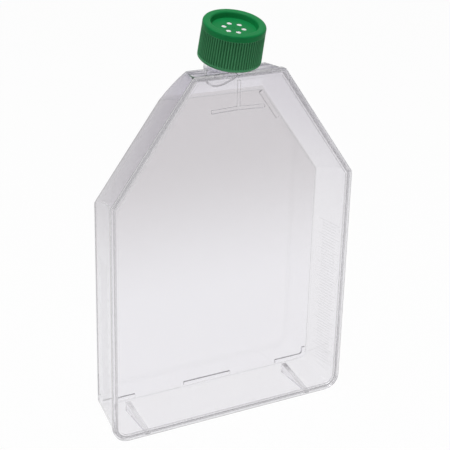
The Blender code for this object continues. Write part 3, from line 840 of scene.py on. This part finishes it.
class FLASK_OT_graduations(Operator):
    """Add the frosted graduation lines on both side walls"""

    bl_idname = "flask.graduations"
    bl_label = "Graduations"

    def execute(self, context):
        colours = context.scene.flask_colours
        sizes = context.scene.flask_sizes
        material = solid_material("frosted_graduations", colours.tick_shade, colours.tick_tone, TICK_SKIN)
        material.node_tree.nodes["Principled BSDF"].inputs["Alpha"].default_value = TICK_ALPHA
        tray = FRAME["nodes"]["flask_body"]
        for hand, name in ((-1, "graduations_left"), (1, "graduations_right")):
            mesh_data = bmesh.new()
            for index in range(sizes.tick_count):
                depths = SHORT_TICK if index % LONG_TICK_EVERY else LONG_TICK
                self.line(mesh_data, tray, hand, depths, index, sizes)
            piece_from(mesh_data, name, material, "flask")
        return {"FINISHED"}

    def line(self, mesh_data, tray, hand, depths, index, sizes):
        """One raised line on a side wall, laid on the wall where it is."""
        level = sizes.lowest_tick + sizes.tick_pitch * index
        corners = []
        for depth in depths:
            hit, place, normal, face = tray.ray_cast(Vector((hand * BODY_HIGH.x * 2, depth, level)),
                                                     Vector((-hand, 0, 0)))
            if not hit:
                raise RuntimeError("A graduation line misses the side wall")
            for lift in (TICK_LIFT, TICK_LIFT + sizes.tick_relief):
                for rise in (-sizes.tick_width / 2, sizes.tick_width / 2):
                    corners.append(mesh_data.verts.new(place + normal * lift + Vector((0, 0, rise))))
        bmesh.ops.convex_hull(mesh_data, input=corners)


class FLASK_OT_neck_thread(Operator):
    """Add the two-start thread on the neck"""

    bl_idname = "flask.neck_thread"
    bl_label = "Neck thread"

    def execute(self, context):
        colours = context.scene.flask_colours
        sizes = context.scene.flask_sizes
        # The thread takes the front plate's tones, with their painted light towards the neck.
        material = clear_material("clear_polystyrene_thread", colours.plate_tone,
                                  colours.plate_painted_light_near_neck)
        thread = piece_from(two_starts(NECK_THREAD, sizes), "neck_thread", material, "flask")
        shade_round(thread, sizes)
        return {"FINISHED"}


class FLASK_OT_cap(Operator):
    """Give the cap its green plastic with painted highlights and shade on its ribs, its inner thread and
    its moulding mark
    """

    bl_idname = "flask.cap"
    bl_label = "Cap"

    def execute(self, context):
        colours = context.scene.flask_colours
        sizes = context.scene.flask_sizes
        green = solid_material("green_cap_plastic", colours.cap_green, colours.cap_green_worn, CAP_SKIN)
        # Painted highlight on the rib crests and painted shade in the grooves.
        paint_rib_highlight_and_shade(green, colours.groove_painted_shade, colours.rib_crest_painted_highlight, sizes)
        dress_node("cap_shell", (green,))
        thread = piece_from(two_starts(CAP_THREAD, sizes), "cap_thread", green, "cap")
        shade_round(thread, sizes)
        mesh_data = bmesh.new()
        cushion(mesh_data, sizes.gate_radius, GATE_SHAPE, GATE_SIDES, sizes.vent_floor)
        gate = piece_from(mesh_data, "gate_mark", green, "cap")
        gate.data.shade_smooth()
        return {"FINISHED"}


class FLASK_OT_cap_insert(Operator):
    """Give the seal ring and the membrane their finish, and show the membrane in the vents"""

    bl_idname = "flask.cap_insert"
    bl_label = "Seal ring and membrane"

    def execute(self, context):
        colours = context.scene.flask_colours
        sizes = context.scene.flask_sizes
        seal = solid_material("white_seal_plastic", colours.seal_shade, colours.seal_white, SEAL_SKIN)
        membrane = solid_material("white_filter_membrane", colours.membrane_shade,
                                  colours.membrane_white, MEMBRANE_SKIN)
        dress_node("seal_ring", (seal,))
        dress_node("vent_membrane", (membrane,))
        mesh_data = bmesh.new()
        for index in range(sizes.vent_count):
            turn = 2 * math.pi * (index + 1 / 2) / sizes.vent_count
            centre = on_neck(0, sizes.vent_ring, turn) - NECK_FOOT
            cushion(mesh_data, sizes.vent_radius - WINDOW_GAP, WINDOW_SHAPE, WINDOW_SIDES,
                    sizes.vent_floor, centre)
        windows = piece_from(mesh_data, "vent_windows", membrane, "cap")
        shade_round(windows, sizes)
        return {"FINISHED"}


class FLASK_OT_stage(Operator):
    """Set the pale floor, the even room, the lamps and the camera"""

    bl_idname = "flask.stage"
    bl_label = "Studio"

    def execute(self, context):
        stage = context.scene.flask_stage
        self.make_floor(stage)
        self.make_room(context.scene, stage)
        self.make_lamps(stage)
        self.make_camera(context.scene, stage)
        context.scene.view_settings.view_transform = "Standard"
        return {"FINISHED"}

    def seen_directly(self, tree, mirror_share):
        """One for a ray from the camera or through clear plastic, and a share of it in a mirror image."""
        path = tree.nodes.new("ShaderNodeLightPath").outputs
        total = number(tree, "MULTIPLY", path["Is Glossy Ray"], mirror_share)
        for label in ("Is Camera Ray", "Is Transmission Ray"):
            total = number(tree, "MAXIMUM", total, path[label])
        return total

    def make_floor(self, stage):
        """A wide pale floor that looks nearly white and keeps a soft shadow."""
        material, shader, output = start_material("pale_floor")
        tree = material.node_tree
        feed(tree, shader.inputs["Base Color"], FLOOR_GREY)
        shader.inputs["Roughness"].default_value = 1
        shader.inputs["Specular IOR Level"].default_value = 0
        glow = tree.nodes.new("ShaderNodeEmission")
        glow.inputs["Strength"].default_value = 1
        seen = self.seen_directly(tree, stage.mirror_share)
        mix_shaders(tree, number(tree, "MULTIPLY", seen, FLOOR_GLOW), shader, glow, output)
        mesh_data = bmesh.new()
        bmesh.ops.create_grid(mesh_data, x_segments=1, y_segments=1, size=stage.floor_size / 2,
                              matrix=Matrix.Translation((0, 0, -FLOOR_DROP)))
        floor = mesh_from(mesh_data, "studio_floor", material)

    def make_room(self, scene, stage):
        """A room that looks white and lights softly."""
        world = bpy.data.worlds.new("white_room")
        world.use_nodes = True
        scene.world = world
        tree = world.node_tree
        light = tree.nodes["Background"]
        white = tree.nodes.new("ShaderNodeBackground")
        for shader, strength in ((light, stage.room_light), (white, 1)):
            feed(tree, shader.inputs["Color"], WHITE)
            shader.inputs["Strength"].default_value = strength
        mix_shaders(tree, self.seen_directly(tree, stage.mirror_share), light, white,
                    tree.nodes["World Output"])

    def make_lamps(self, stage):
        """Three large soft lamps that face the flask."""
        lamps = (
            ("lamp_overhead", (-0.15, -0.10, 1.25), stage.lamp_power),
            ("lamp_left", (-1.1, -0.3, 0.6), stage.fill_power),
            ("lamp_right", (1.0, -0.6, 0.5), stage.fill_power),
        )
        for name, place, power in lamps:
            lamp = bpy.data.lights.new(name, "AREA")
            lamp.size = LAMP_WIDTH
            lamp.energy = power
            item = bpy.data.objects.new(name, lamp)
            item.location = place
            item.rotation_euler = (LAMP_AIM - Vector(place)).to_track_quat("-Z", "Y").to_euler()
            bpy.context.scene.collection.objects.link(item)

    def make_camera(self, scene, stage):
        """A camera at the photo's angle."""
        data = bpy.data.cameras.new("camera")
        data.lens = stage.camera_lens
        data.sensor_width = 36
        data.clip_start = 0.01
        camera = bpy.data.objects.new("camera", data)
        turn = Matrix.Rotation(-stage.camera_azimuth, 4, "Z")
        tip = Matrix.Rotation(math.pi / 2 - stage.camera_elevation, 4, "X")
        roll = Matrix.Rotation(stage.camera_roll, 4, "Z")
        camera.matrix_world = Matrix.Translation(stage.camera_place) @ turn @ tip @ roll
        scene.collection.objects.link(camera)
        scene.camera = camera


class FLASK_PT_panel(Panel):
    """The flask's pieces and their values"""

    bl_idname = "FLASK_PT_panel"
    bl_label = "Culture flask"
    bl_space_type = "VIEW_3D"
    bl_region_type = "UI"
    bl_category = "Flask"

    def draw(self, context):
        for step in STEPS:
            self.layout.operator(step.bl_idname)
        for values in (context.scene.flask_colours, context.scene.flask_sizes, context.scene.flask_stage):
            box = self.layout.box()
            for name in values.__annotations__:
                box.prop(values, name)


STEPS = (
    FLASK_OT_clear_walls,
    FLASK_OT_graduations,
    FLASK_OT_neck_thread,
    FLASK_OT_cap,
    FLASK_OT_cap_insert,
    FLASK_OT_stage,
)
GROUPS = {"flask_colours": FlaskColours, "flask_sizes": FlaskSizes, "flask_stage": StageSizes}


def register():
    """Register the classes and put the values on the scene."""
    for name, group in GROUPS.items():
        bpy.utils.register_class(group)
        setattr(bpy.types.Scene, name, PointerProperty(type=group))
    for step in STEPS:
        bpy.utils.register_class(step)
    bpy.utils.register_class(FLASK_PT_panel)


def unregister():
    """Take the classes and the values away again."""
    bpy.utils.unregister_class(FLASK_PT_panel)
    for step in reversed(STEPS):
        bpy.utils.unregister_class(step)
    for name, group in GROUPS.items():
        delattr(bpy.types.Scene, name)
        bpy.utils.unregister_class(group)


def main():
    """Dress the flask and set the studio."""
    register()
    bpy.ops.flask.clear_walls()
    bpy.ops.flask.graduations()
    bpy.ops.flask.neck_thread()
    bpy.ops.flask.cap()
    bpy.ops.flask.cap_insert()
    bpy.ops.flask.stage()


if __name__ == "__main__":
    main()
